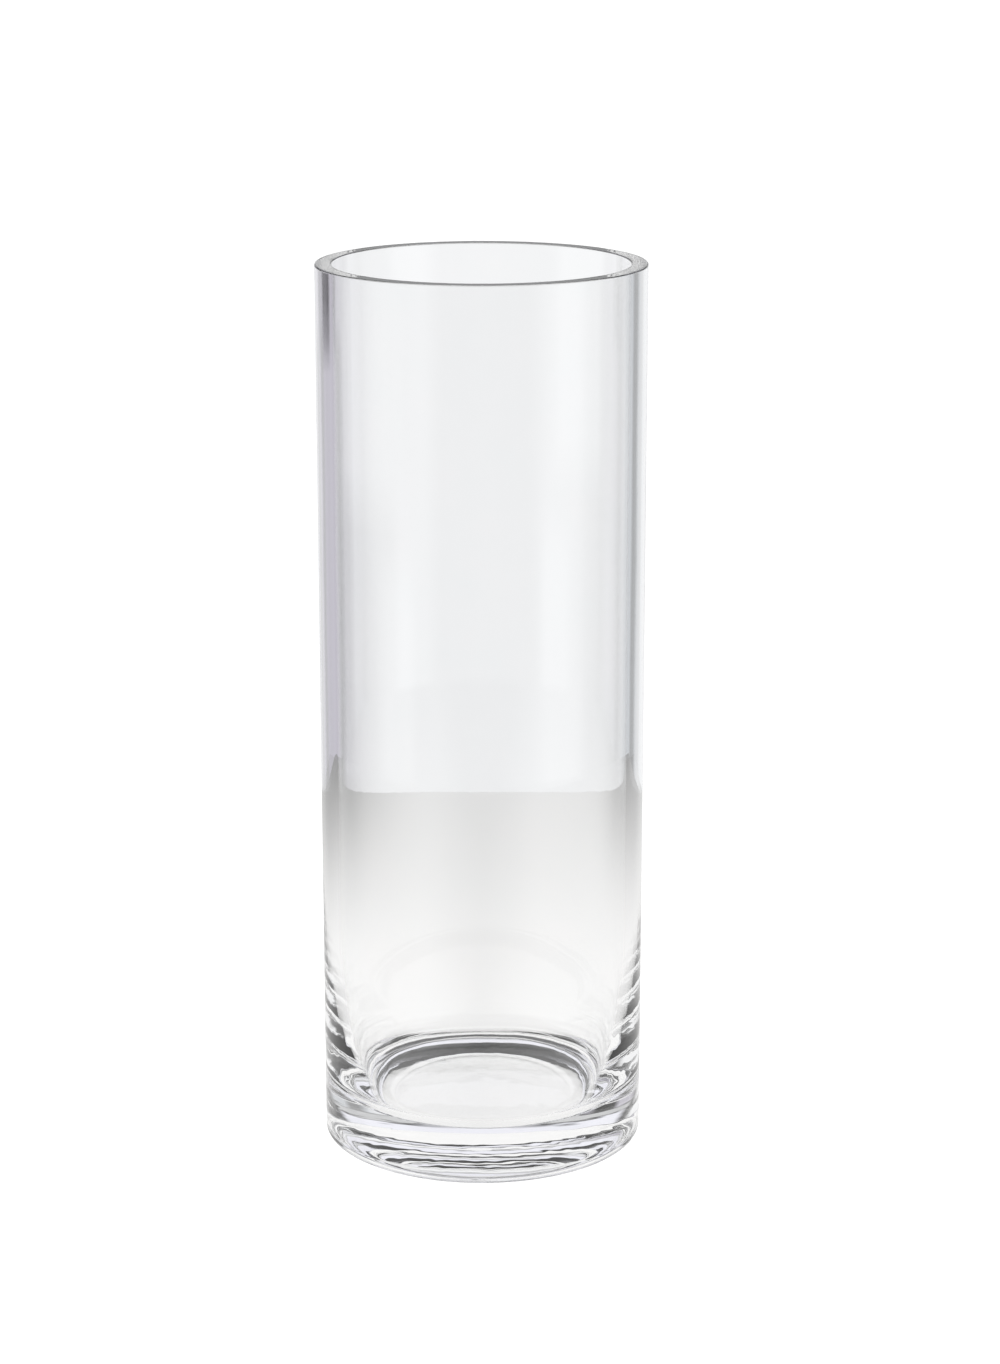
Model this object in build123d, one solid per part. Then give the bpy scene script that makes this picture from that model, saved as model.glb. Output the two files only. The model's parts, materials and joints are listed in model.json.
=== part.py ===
"""Clear glass cylinder vase: one hollow glass vessel with a heavy base.

Millimetres, +Z up. The origin is on the axis, in the plane of the ring that the vase stands on.
The vase is a single piece of glass, so it is a single solid, turned from one half section.
"""

from build123d import *

import os
from math import atan, cos, degrees, radians, sin, tan

# Driving dimensions
HEIGHT = 250.0
OUTER_DIAMETER = 90.6
WALL = 4.7

# Rim: a flat land between two small melted edges
RIM_OUTER_RADIUS = 0.4
RIM_INNER_RADIUS = 0.4

# Foot of the bore: the wall thickens towards the floor, and leans in by an angle where the corner starts
THICKENING = 3.7
LEAN_DEG = 11.2

# Floor: an oval corner, wider than it is high, round a slightly crowned floor
CORNER_WIDTH = 8.5
CORNER_HEIGHT = 6.0
FLOOR_HEIGHT = 12.8
FLOOR_CROWN = 0.3

# Underside: the heel, the flat ring that the vase stands on, and the hollow inside the ring
HEEL_RADIUS = 1.5
PUNT_RADIUS = 38.0
PUNT_DEPTH = 4.2

# Shares of the curves' control points, which fix how late each of them turns
TAPER_TURN = 1 / 6
PUNT_TURN = 7 / 8

OUTER_RADIUS = OUTER_DIAMETER / 2
BORE_RADIUS = OUTER_RADIUS - WALL
FOOT_RADIUS = BORE_RADIUS - THICKENING


def punt_curve():
    """The hollow underneath: nearly flat at the axis, and steep where it meets the standing ring."""
    drops = (1, 1, 1, PUNT_TURN, 0)
    last = len(drops) - 1
    return Bezier(*[(PUNT_RADIUS * i / last, PUNT_DEPTH * drop) for i, drop in enumerate(drops)])


def corner_curve():
    """A quarter oval, or a little less, from the floor up to the leaning wall."""
    start = atan(tan(radians(LEAN_DEG)) * CORNER_HEIGHT / CORNER_WIDTH)
    centre = (FOOT_RADIUS - CORNER_WIDTH * cos(start), FLOOR_HEIGHT + CORNER_HEIGHT)
    return EllipticalCenterArc(
        centre,
        CORNER_WIDTH,
        CORNER_HEIGHT,
        start_angle=270,
        arc_size=90 - degrees(start),
    )


def taper_curve(foot):
    """The bore's lower end, from the foot of the wall up to where it runs straight."""
    rise = (3 - 3 * TAPER_TURN) * THICKENING / tan(radians(LEAN_DEG))
    return Bezier(
        foot,
        (BORE_RADIUS - TAPER_TURN * THICKENING, foot.Y + rise / 3),
        (BORE_RADIUS, foot.Y + rise * 2 / 3),
        (BORE_RADIUS, foot.Y + rise),
    )


def half_section():
    """The glass on one side of the axis, drawn in the XZ plane: X is the radius and Z the height."""
    heel = (OUTER_RADIUS, 0)
    rim_outer = (OUTER_RADIUS, HEIGHT)
    rim_inner = (BORE_RADIUS, HEIGHT)
    with BuildSketch(Plane.XZ) as section:
        with BuildLine():
            punt = punt_curve()
            corner = corner_curve()
            taper = taper_curve(corner @ 1)
            Polyline(punt @ 1, heel, rim_outer, rim_inner, taper @ 1)
            middle = (0, FLOOR_HEIGHT + FLOOR_CROWN)
            edge = corner @ 0
            Bezier(edge, (edge.X / 2, middle[1]), middle)
            Line(middle, punt @ 0)
        make_face()
        for point, radius in (
            (heel, HEEL_RADIUS),
            (rim_outer, RIM_OUTER_RADIUS),
            (rim_inner, RIM_INNER_RADIUS),
        ):
            fillet(section.vertices().sort_by_distance(point)[0], radius)
    return section.sketch


def glass_vase():
    """The whole vessel, turned about Z."""
    return revolve(half_section(), Axis.Z)


os.makedirs("parts", exist_ok=True)
export_step(glass_vase(), "parts/glass_vase.step")
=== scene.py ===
import json
from math import atan, cos, degrees, pi, radians, sin, tan

import bpy
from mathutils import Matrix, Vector, noise

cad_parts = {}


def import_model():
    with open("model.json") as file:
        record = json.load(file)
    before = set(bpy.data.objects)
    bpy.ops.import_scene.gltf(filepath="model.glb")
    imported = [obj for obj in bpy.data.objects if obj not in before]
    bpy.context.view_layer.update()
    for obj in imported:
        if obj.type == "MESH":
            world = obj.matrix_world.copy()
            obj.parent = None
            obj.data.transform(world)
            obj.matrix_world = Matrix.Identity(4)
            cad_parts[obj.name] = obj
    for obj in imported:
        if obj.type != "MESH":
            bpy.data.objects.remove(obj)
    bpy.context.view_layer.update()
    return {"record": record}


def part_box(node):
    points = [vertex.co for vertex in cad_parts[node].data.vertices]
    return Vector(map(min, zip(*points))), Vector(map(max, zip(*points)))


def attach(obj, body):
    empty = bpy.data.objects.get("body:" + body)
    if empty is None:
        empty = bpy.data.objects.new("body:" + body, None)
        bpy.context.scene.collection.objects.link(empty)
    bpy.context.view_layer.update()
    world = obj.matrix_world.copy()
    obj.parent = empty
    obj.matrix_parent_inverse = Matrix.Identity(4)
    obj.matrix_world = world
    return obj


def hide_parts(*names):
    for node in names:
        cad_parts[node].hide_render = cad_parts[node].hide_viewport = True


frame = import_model()

# ---- The vase, in metres: height, width and bore from the frame, and the rest of the solid's section ----

low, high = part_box("glass_vase")
HEIGHT = high.z - low.z
OUTER_RADIUS = (high.x - low.x) / 2
mouth = next(m for m in frame["record"]["mounts"] if m["name"] == "mouth")
BORE_RADIUS = mouth["dims"]["r_mm"] / 1000

RIM_OUTER_RADIUS = 0.0004
RIM_INNER_RADIUS = 0.0004
THICKENING = 0.0037
LEAN_DEG = 11.2
TAPER_POWER = 2
CORNER_WIDTH = 0.0085
CORNER_HEIGHT = 0.0060
FLOOR_HEIGHT = 0.0128
FLOOR_CROWN = 0.0003
HEEL_RADIUS = 0.0015
PUNT_RADIUS = 0.0380
PUNT_DEPTH = 0.0042
PUNT_POWER = 3

# ---- The mesh: how many steps round the vase, and along each stretch of the section ----

SEGMENTS = 360
PUNT_STEPS = 30
RING_STEPS = 4
HEEL_STEPS = 10
OUTSIDE_STEPS = 64
RIM_STEPS = 8
LAND_STEPS = 3
BORE_STEPS = 40
TAPER_STEPS = 24
CORNER_STEPS = 30
FLOOR_STEPS = 20

# ---- Waves in the surface: how far they reach, in metres, and how close together they are, per metre ----

UNDER_RIPPLE = 0.00006
UNDER_SWELL = 0.00015
RING_SHARE = 0.10
INNER_RIPPLE = 0.00002
INNER_SWELL = 0.00015
WALL_SHARE = 0.10
RIPPLE_HEIGHT = 0.060
RIPPLE_MARGIN = 0.0005
FINE_WAVES = 350
BROAD_WAVES = 70
UPRIGHT_STRETCH = 0.5
INNER_OFFSET = Vector((7, 3, 5))

# ---- The glass: colourless, with a tint, haze and grain too faint to see one by one ----

GLASS_IOR = 1.52
CLOUD_SCALE = 60
CLOUD_DETAIL = 3.0
TINT = (0.992, 0.996, 0.996, 1)
CLEAR = (1.0, 1.0, 1.0, 1)
TINT_FROM = 0.35
TINT_TO = 0.65
HAZE = 0.02
HAZE_FROM = 0.45
HAZE_TO = 0.75
GRAIN_SCALE = 160
GRAIN_DETAIL = 2.0
GRAIN_DEPTH = 0.000004

# ---- The camera: from the perspective of the rim and the sides, its place in outer radii of the vase ----

CAMERA_PLACE = Vector((0.111, -19.834, 8.201)) * OUTER_RADIUS
CAMERA_PITCH_DEG = -14.91
LENS_MM = 87.6
SENSOR_MM = 36.0
CLIP_START = 0.01

# ---- The table: its size, and where and how far its painted light dims into painted shade ----

TABLE_FAR = 7.4 * OUTER_RADIUS
TABLE_REACH = 0.42
TABLE_POINTS = 180
EDGE_BOW = 0.6
LEAST_COSINE = 0.01
TABLE_GAP = 0.0001
TABLE_TINT = (1.0, 0.995, 0.99, 1)
TABLE_MATT = (0.12, 0.12, 0.12, 1)
# Painted shadow: the table's glow dims under the vase and just past its foot
UNDER_SHADE = 0.93
UNDER_START = OUTER_RADIUS * 0.6
UNDER_END = OUTER_RADIUS * 1.1
# Painted light and shade in the table's glow: brighter near the vase, dimmer far out, in the corners and
# in front
NEAR_LIGHT = 0.96
FAR_LIGHT = 0.84
LEFT_SHADE = 0.55
LEFT_START = -0.16
LEFT_END = -0.02
RIGHT_SHADE = 0.42
RIGHT_START = 0.06
RIGHT_END = 0.18
BACK_START = 0.10
FRONT_SLOPE = 1.0
FRONT_LIGHT = 0.20
FRONT_START = -0.22
FRONT_END = -0.01
DISTANT_START = 0.15
DISTANT_LIGHT = 0.45

# ---- The room: dark to the glass, and white when seen directly ----

CAMERA_WHITE = 1.25
WORLD_WHITE = 1.1
ROOM_DARK = 0.05

# ---- The soft cards that light the glass: their colours, and their steps across and up ----

WHITE = (0.985, 0.99, 1.0)
LAVENDER = (0.95, 0.95, 1.02)
LILAC = (0.93, 0.90, 1.0)
PALE_BLUE = (0.93, 0.96, 1.0)
CARD_ACROSS = 48
CARD_UP = 16

# Each card: name, distance, start and end azimuth, low and high edge, colour, strength,
# fades at the start and the end, fade at the low and the high edge
CARDS = [
    ("back", 1.46, -28, 34, -0.62, 0.42, WHITE, 0.97, (20, 12), 0.02),
    ("back_left", 1.50, -62, 0, -0.38, 0.42, LILAC, 0.60, (8, 6), 0.02),
    ("back_right", 1.50, 0, 62, -0.62, 0.42, PALE_BLUE, 0.68, (6, 8), 0.02),
    ("stand_low", 1.44, -32, -20, -0.40, 0.02, WHITE, 0.42, (5, 5), 0.02),
    ("stand_high", 1.44, -44, -27, -0.02, 0.42, WHITE, 0.05, (4, 4), 0.04),
    ("stand_right", 1.44, 30, 44, -0.40, 0.42, WHITE, 0.32, (5, 4), 0.02),
    ("back_gap", 1.50, -60, 62, 0.42, 0.58, WHITE, 0.62, (6, 8), 0.02),
    ("back_high", 1.50, -56, 56, 0.58, 1.15, LAVENDER, 0.95, (8, 8), 0.02),
    ("back_low", 1.50, -66, -20, -0.70, -0.37, WHITE, 0.90, (6, 4), 0.02),
    ("left", 1.50, -122, -60, -0.14, 0.62, WHITE, 0.92, (10, 8), 0.05),
    ("left_low", 1.50, -134, -100, -0.36, -0.14, WHITE, 0.75, (6, 6), 0.05),
    ("right", 1.50, 98, 146, -0.62, 0.75, WHITE, 0.92, (10, 14), 0.05),
    ("front", 1.54, 60, 300, -0.72, 0.16, WHITE, 0.38, (12, 12), 0.06),
]

# ---- How often light may bounce ----

BOUNCES = 40
GLOSSY_BOUNCES = 24
TRANSPARENT_BOUNCES = 16


def arc(centre, radius, start_deg, end_deg, steps, height=None):
    """Points along an arc in the section, where x is the radius from the axis and y the height."""
    height = height or radius
    points = []
    for i in range(steps + 1):
        a = radians(start_deg + (end_deg - start_deg) * i / steps)
        points.append((centre[0] + radius * cos(a), centre[1] + height * sin(a)))
    return points


def line(start, end, steps):
    """Points on a straight stretch, without its two ends, closer together near them."""
    shares = [(1 - cos(pi * i / steps)) / 2 for i in range(1, steps)]
    return [(start[0] + (end[0] - start[0]) * s, start[1] + (end[1] - start[1]) * s) for s in shares]


def late_turn(share, power):
    """A curve from 0 to 1 that stays low and turns late: the mean of two neighbouring powers."""
    return (share**power + share ** (power + 1)) / 2


def end_slope(power):
    """How steep the late-turning curve is where it ends."""
    return power + 1 / 2


def punt_points():
    """The hollow underneath, from beside the axis out to the standing ring."""
    shares = [i / PUNT_STEPS for i in range(1, PUNT_STEPS + 1)]
    return [(PUNT_RADIUS * s, PUNT_DEPTH * (1 - late_turn(s, PUNT_POWER))) for s in shares]


def corner_points():
    """The oval corner inside, from the leaning wall down to the floor."""
    start = atan(tan(radians(LEAN_DEG)) * CORNER_HEIGHT / CORNER_WIDTH)
    centre = (BORE_RADIUS - THICKENING - CORNER_WIDTH * cos(start), FLOOR_HEIGHT + CORNER_HEIGHT)
    return arc(centre, CORNER_WIDTH, -degrees(start), -90, CORNER_STEPS, CORNER_HEIGHT)


def taper_points(foot):
    """The bore's lower end, from where it runs straight down to just above the foot of the wall."""
    rise = end_slope(TAPER_POWER) * THICKENING / tan(radians(LEAN_DEG))
    shares = [i / TAPER_STEPS for i in range(TAPER_STEPS)]
    return [(BORE_RADIUS - THICKENING * late_turn(s, TAPER_POWER), foot + rise * (1 - s)) for s in shares]


def floor_points(flat):
    """The crowned floor, from beside the corner to beside the axis."""
    shares = [1 - i / FLOOR_STEPS for i in range(1, FLOOR_STEPS)]
    return [(flat * s, FLOOR_HEIGHT + FLOOR_CROWN * (1 - s**2)) for s in shares]


def vase_section():
    """Half of the glass, from beside the middle of the underside to beside the middle of the floor.

    It goes out along the underside, up the outside, over the rim and down the bore.
    """
    punt = punt_points()
    heel_centre = (OUTER_RADIUS - HEEL_RADIUS, HEEL_RADIUS)
    heel = arc(heel_centre, HEEL_RADIUS, -90, 0, HEEL_STEPS)
    rim_out_centre = (OUTER_RADIUS - RIM_OUTER_RADIUS, HEIGHT - RIM_OUTER_RADIUS)
    rim_out = arc(rim_out_centre, RIM_OUTER_RADIUS, 0, 90, RIM_STEPS)
    rim_in_centre = (BORE_RADIUS + RIM_INNER_RADIUS, HEIGHT - RIM_INNER_RADIUS)
    rim_in = arc(rim_in_centre, RIM_INNER_RADIUS, 90, 180, RIM_STEPS)
    corner = corner_points()
    taper = taper_points(corner[0][1])
    points = punt + line(punt[-1], heel[0], RING_STEPS) + heel
    points += line(heel[-1], rim_out[0], OUTSIDE_STEPS) + rim_out
    points += line(rim_out[-1], rim_in[0], LAND_STEPS) + rim_in
    points += line(rim_in[-1], taper[0], BORE_STEPS) + taper + corner
    return points + floor_points(corner[-1][0])


def rippled(r, a, z):
    """A point of the glass, moved off the true section by the faint waves that the mould leaves in it.

    The underside waves most, the corner and floor inside less, the standing ring and the bore hardly
    at all, and the heel, the outside and the flat of the rim not at all.
    """
    x = r * cos(a)
    y = r * sin(a)
    inside = r < BORE_RADIUS + RIM_INNER_RADIUS and z > PUNT_DEPTH + RIPPLE_MARGIN
    under = z < PUNT_DEPTH + RIPPLE_MARGIN and r < OUTER_RADIUS - HEEL_RADIUS
    if under:
        share = min(1, r / PUNT_RADIUS) ** 2
        fine = noise.noise(Vector((x, y, 0)) * FINE_WAVES)
        broad = noise.noise(Vector((x, y, z)) * BROAD_WAVES)
        lift = UNDER_RIPPLE * share * (1 + fine) + UNDER_SWELL * share * (1 + broad)
        return (x, y, z + lift * min(1, z / PUNT_DEPTH + RING_SHARE))
    if inside:
        depth = max(0, 1 - (z - FLOOR_HEIGHT) / RIPPLE_HEIGHT)
        share = WALL_SHARE + (1 - WALL_SHARE) * depth
        broad = noise.noise(Vector((x, y, z * UPRIGHT_STRETCH)) * BROAD_WAVES + INNER_OFFSET)
        fine = noise.noise(Vector((x, y, z * UPRIGHT_STRETCH)) * FINE_WAVES)
        push = share * (INNER_SWELL * broad + INNER_RIPPLE * fine)
        side = min(1, r / (BORE_RADIUS - THICKENING))
        scale = 1 + push * side / BORE_RADIUS
        return (x * scale, y * scale, z + push * (1 - side))
    return (x, y, z)


def lathe(name, section, bottom, top):
    """A closed mesh: the section turned about Z and rippled, with a centre point at each end."""
    vertices = [(0, 0, bottom)]
    for r, z in section:
        for i in range(SEGMENTS):
            vertices.append(rippled(r, 2 * pi * i / SEGMENTS, z))
    vertices.append((0, 0, top))
    faces = []
    rings = len(section)
    for i in range(SEGMENTS):
        j = (i + 1) % SEGMENTS
        faces.append((0, 1 + j, 1 + i))
        for k in range(rings - 1):
            a = 1 + k * SEGMENTS
            b = a + SEGMENTS
            faces.append((a + i, a + j, b + j, b + i))
        last = 1 + (rings - 1) * SEGMENTS
        faces.append((last + i, last + j, len(vertices) - 1))
    mesh = bpy.data.meshes.new(name)
    mesh.from_pydata(vertices, [], faces)
    mesh.validate()
    mesh.shade_smooth()
    piece = bpy.data.objects.new(name, mesh)
    bpy.context.scene.collection.objects.link(piece)
    return piece


def glass_material():
    """Clear soda-lime glass: almost colourless, polished, with a very faint unevenness in its surface."""
    material = bpy.data.materials.new("clear_glass")
    material.use_nodes = True
    nodes = material.node_tree.nodes
    links = material.node_tree.links
    shader = nodes["Principled BSDF"]
    shader.inputs["Transmission Weight"].default_value = 1.0
    shader.inputs["IOR"].default_value = GLASS_IOR
    place = nodes.new("ShaderNodeTexCoord")
    cloud = nodes.new("ShaderNodeTexNoise")
    cloud.inputs["Scale"].default_value = CLOUD_SCALE
    cloud.inputs["Detail"].default_value = CLOUD_DETAIL
    links.new(place.outputs["Object"], cloud.inputs["Vector"])
    tint = nodes.new("ShaderNodeValToRGB")
    tint.color_ramp.elements[0].position = TINT_FROM
    tint.color_ramp.elements[0].color = TINT
    tint.color_ramp.elements[1].position = TINT_TO
    tint.color_ramp.elements[1].color = CLEAR
    links.new(cloud.outputs["Fac"], tint.inputs["Fac"])
    links.new(tint.outputs["Color"], shader.inputs["Base Color"])
    haze = nodes.new("ShaderNodeMapRange")
    haze.inputs["From Min"].default_value = HAZE_FROM
    haze.inputs["From Max"].default_value = HAZE_TO
    haze.inputs["To Min"].default_value = 0.0
    haze.inputs["To Max"].default_value = HAZE
    links.new(cloud.outputs["Fac"], haze.inputs["Value"])
    links.new(haze.outputs["Result"], shader.inputs["Roughness"])
    grain = nodes.new("ShaderNodeTexNoise")
    grain.inputs["Scale"].default_value = GRAIN_SCALE
    grain.inputs["Detail"].default_value = GRAIN_DETAIL
    links.new(place.outputs["Object"], grain.inputs["Vector"])
    bump = nodes.new("ShaderNodeBump")
    bump.inputs["Strength"].default_value = 1.0
    bump.inputs["Distance"].default_value = GRAIN_DEPTH
    links.new(grain.outputs["Fac"], bump.inputs["Height"])
    links.new(bump.outputs["Normal"], shader.inputs["Normal"])
    return material


def soft_card_material(name, colour, strength):
    """Light from a card whose edges fade out: the "cover" attribute says how much of it there is."""
    material = bpy.data.materials.new(name)
    material.use_nodes = True
    nodes = material.node_tree.nodes
    links = material.node_tree.links
    nodes.clear()
    out = nodes.new("ShaderNodeOutputMaterial")
    glow = nodes.new("ShaderNodeEmission")
    glow.inputs["Color"].default_value = (*colour, 1)
    glow.inputs["Strength"].default_value = strength
    clear = nodes.new("ShaderNodeBsdfTransparent")
    cover = nodes.new("ShaderNodeAttribute")
    cover.attribute_name = "cover"
    mix = nodes.new("ShaderNodeMixShader")
    links.new(cover.outputs["Fac"], mix.inputs[0])
    links.new(clear.outputs[0], mix.inputs[1])
    links.new(glow.outputs[0], mix.inputs[2])
    links.new(mix.outputs[0], out.inputs[0])
    return material


def add_mesh(name, vertices, faces, material):
    """A mesh object with one material, linked to the scene."""
    mesh = bpy.data.meshes.new(name)
    mesh.from_pydata(vertices, [], faces)
    mesh.materials.append(material)
    piece = bpy.data.objects.new(name, mesh)
    bpy.context.scene.collection.objects.link(piece)
    return piece


def upright_card(name, distance, start_deg, end_deg, z_low, z_high, material, fade_deg, fade_height):
    """A curved upright card round the vase, which the camera doesn't see directly.

    Azimuth 0 is behind the vase (+Y), and 90 is to its right (+X).
    """
    vertices = []
    covers = []
    for i in range(CARD_ACROSS + 1):
        azimuth = start_deg + (end_deg - start_deg) * i / CARD_ACROSS
        a = radians(azimuth)
        side = min(1, (azimuth - start_deg) / fade_deg[0], (end_deg - azimuth) / fade_deg[1])
        for k in range(CARD_UP + 1):
            z = z_low + (z_high - z_low) * k / CARD_UP
            vertices.append((distance * sin(a), distance * cos(a), z))
            end = min(1, (z - z_low) / fade_height, (z_high - z) / fade_height)
            covers.append(max(0, side) * max(0, end))
    faces = []
    for i in range(CARD_ACROSS):
        for k in range(CARD_UP):
            a = i * (CARD_UP + 1) + k
            faces.append((a, a + CARD_UP + 1, a + CARD_UP + 2, a + 1))
    card = add_mesh(name, vertices, faces, material)
    cover = card.data.attributes.new("cover", "FLOAT", "POINT")
    cover.data.foreach_set("value", covers)
    card.visible_camera = False


def ramp(tree, source, start, end, low, high):
    """A smooth change from low to high while the source goes from start to end."""
    node = tree.nodes.new("ShaderNodeMapRange")
    node.interpolation_type = "SMOOTHSTEP"
    node.inputs["From Min"].default_value = start
    node.inputs["From Max"].default_value = end
    node.inputs["To Min"].default_value = low
    node.inputs["To Max"].default_value = high
    tree.links.new(source, node.inputs["Value"])
    return node.outputs["Result"]


def combine(tree, operation, first, second):
    """One step of arithmetic between two sources, or a source and a number."""
    node = tree.nodes.new("ShaderNodeMath")
    node.operation = operation
    for socket, value in zip(node.inputs, (first, second)):
        if isinstance(value, (int, float)):
            socket.default_value = value
        else:
            tree.links.new(value, socket)
    return node.outputs[0]


def painted_table_light(tree):
    """How bright the top is to the glass, from place to place.

    Its glow is painted light: it dims under the vase (a painted shadow), and towards the far corners, in
    front of the vase and far out to the sides (painted shade).
    """
    place = tree.nodes.new("ShaderNodeTexCoord").outputs["Object"]
    parts = tree.nodes.new("ShaderNodeSeparateXYZ")
    tree.links.new(place, parts.inputs[0])
    length = tree.nodes.new("ShaderNodeVectorMath")
    length.operation = "LENGTH"
    tree.links.new(place, length.inputs[0])
    radius = length.outputs["Value"]
    across = parts.outputs["X"]
    away = parts.outputs["Y"]
    side = combine(tree, "ABSOLUTE", across, 0)
    # Painted contact shadow under the vase, in the table's glow
    under = ramp(tree, radius, UNDER_START, UNDER_END, UNDER_SHADE, 1)
    # Painted falloff: the glow is brighter near the vase and dimmer far from it
    outward = ramp(tree, radius, OUTER_RADIUS, TABLE_FAR, NEAR_LIGHT, FAR_LIGHT)
    # Painted shade towards the far left and right corners
    left = ramp(tree, across, LEFT_START, LEFT_END, LEFT_SHADE, 0)
    right = ramp(tree, across, RIGHT_START, RIGHT_END, 0, RIGHT_SHADE)
    back = ramp(tree, away, BACK_START, TABLE_FAR, 0, 1)
    corner = combine(tree, "MULTIPLY", combine(tree, "ADD", left, right), back)
    # Painted shade in front of the vase
    wedge = combine(tree, "ADD", side, combine(tree, "MULTIPLY", away, FRONT_SLOPE))
    front = ramp(tree, wedge, FRONT_START, FRONT_END, FRONT_LIGHT, 1)
    # Painted shade far out to the sides
    depth = combine(tree, "MINIMUM", away, 0)
    square = combine(tree, "ADD", combine(tree, "POWER", side, 2), combine(tree, "MULTIPLY", depth, depth))
    spread = combine(tree, "SQRT", square, 0)
    distant = ramp(tree, spread, DISTANT_START, TABLE_REACH, 1, DISTANT_LIGHT)
    light = combine(tree, "MULTIPLY", under, outward)
    light = combine(tree, "MULTIPLY", light, combine(tree, "SUBTRACT", 1, corner))
    light = combine(tree, "MULTIPLY", light, front)
    return combine(tree, "MULTIPLY", light, distant)


def table_material():
    """Matt white that glows with the table's painted light and shade to the glass, and evenly when seen
    directly.
    """
    material = bpy.data.materials.new("table_white")
    material.use_nodes = True
    tree = material.node_tree
    nodes = tree.nodes
    links = tree.links
    nodes.clear()
    out = nodes.new("ShaderNodeOutputMaterial")
    seen = nodes.new("ShaderNodeLightPath")
    lift = nodes.new("ShaderNodeMapRange")
    lift.inputs["To Max"].default_value = CAMERA_WHITE
    links.new(seen.outputs["Is Camera Ray"], lift.inputs["Value"])
    links.new(painted_table_light(tree), lift.inputs["To Min"])
    glow = nodes.new("ShaderNodeEmission")
    glow.inputs["Color"].default_value = TABLE_TINT
    links.new(lift.outputs[0], glow.inputs["Strength"])
    matt = nodes.new("ShaderNodeBsdfDiffuse")
    matt.inputs["Color"].default_value = TABLE_MATT
    both = nodes.new("ShaderNodeAddShader")
    links.new(matt.outputs[0], both.inputs[0])
    links.new(glow.outputs[0], both.inputs[1])
    links.new(both.outputs[0], out.inputs[0])
    return material


def table():
    """A broad top with a gently bowed far edge. Seen directly it is as white as what is behind it."""
    ring = []
    for i in range(TABLE_POINTS):
        a = 2 * pi * i / TABLE_POINTS
        reach = TABLE_FAR / max(cos(a), LEAST_COSINE) ** EDGE_BOW
        reach = min(reach, TABLE_REACH)
        ring.append((-reach * sin(a), reach * cos(a), -TABLE_GAP))
    top = add_mesh("table_top", ring, [tuple(range(TABLE_POINTS))], table_material())


def world():
    """A dark room to the glass, and plain white to the camera."""
    sky = bpy.data.worlds.new("studio")
    bpy.context.scene.world = sky
    sky.use_nodes = True
    nodes = sky.node_tree.nodes
    links = sky.node_tree.links
    background = nodes["Background"]
    background.inputs["Color"].default_value = (1, 1, 1, 1)
    seen = nodes.new("ShaderNodeLightPath")
    mix = nodes.new("ShaderNodeMapRange")
    mix.inputs["To Min"].default_value = ROOM_DARK
    mix.inputs["To Max"].default_value = WORLD_WHITE
    links.new(seen.outputs["Is Camera Ray"], mix.inputs["Value"])
    links.new(mix.outputs["Result"], background.inputs["Strength"])


def camera():
    """The camera in front of the vase, looking slightly down."""
    data = bpy.data.cameras.new("camera")
    data.lens = LENS_MM
    data.sensor_width = SENSOR_MM
    data.sensor_fit = "AUTO"
    data.clip_start = CLIP_START
    view = bpy.data.objects.new("camera", data)
    view.location = CAMERA_PLACE
    view.rotation_euler = (radians(90 + CAMERA_PITCH_DEG), 0, 0)
    bpy.context.scene.collection.objects.link(view)
    bpy.context.scene.camera = view


scene = bpy.context.scene
scene.view_settings.view_transform = "Standard"
scene.cycles.max_bounces = BOUNCES
scene.cycles.transmission_bounces = BOUNCES
scene.cycles.glossy_bounces = GLOSSY_BOUNCES
scene.cycles.transparent_max_bounces = TRANSPARENT_BOUNCES

camera()
world()
table()
for name, distance, start, end, z_low, z_high, colour, strength, fades, fade_height in CARDS:
    material = soft_card_material(f"card_{name}", colour, strength)
    upright_card(f"card_{name}", distance, start, end, z_low, z_high, material, fades, fade_height)

vase = lathe("vase", vase_section(), PUNT_DEPTH, FLOOR_HEIGHT + FLOOR_CROWN)
vase.data.materials.append(glass_material())
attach(vase, "root")
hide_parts("glass_vase")
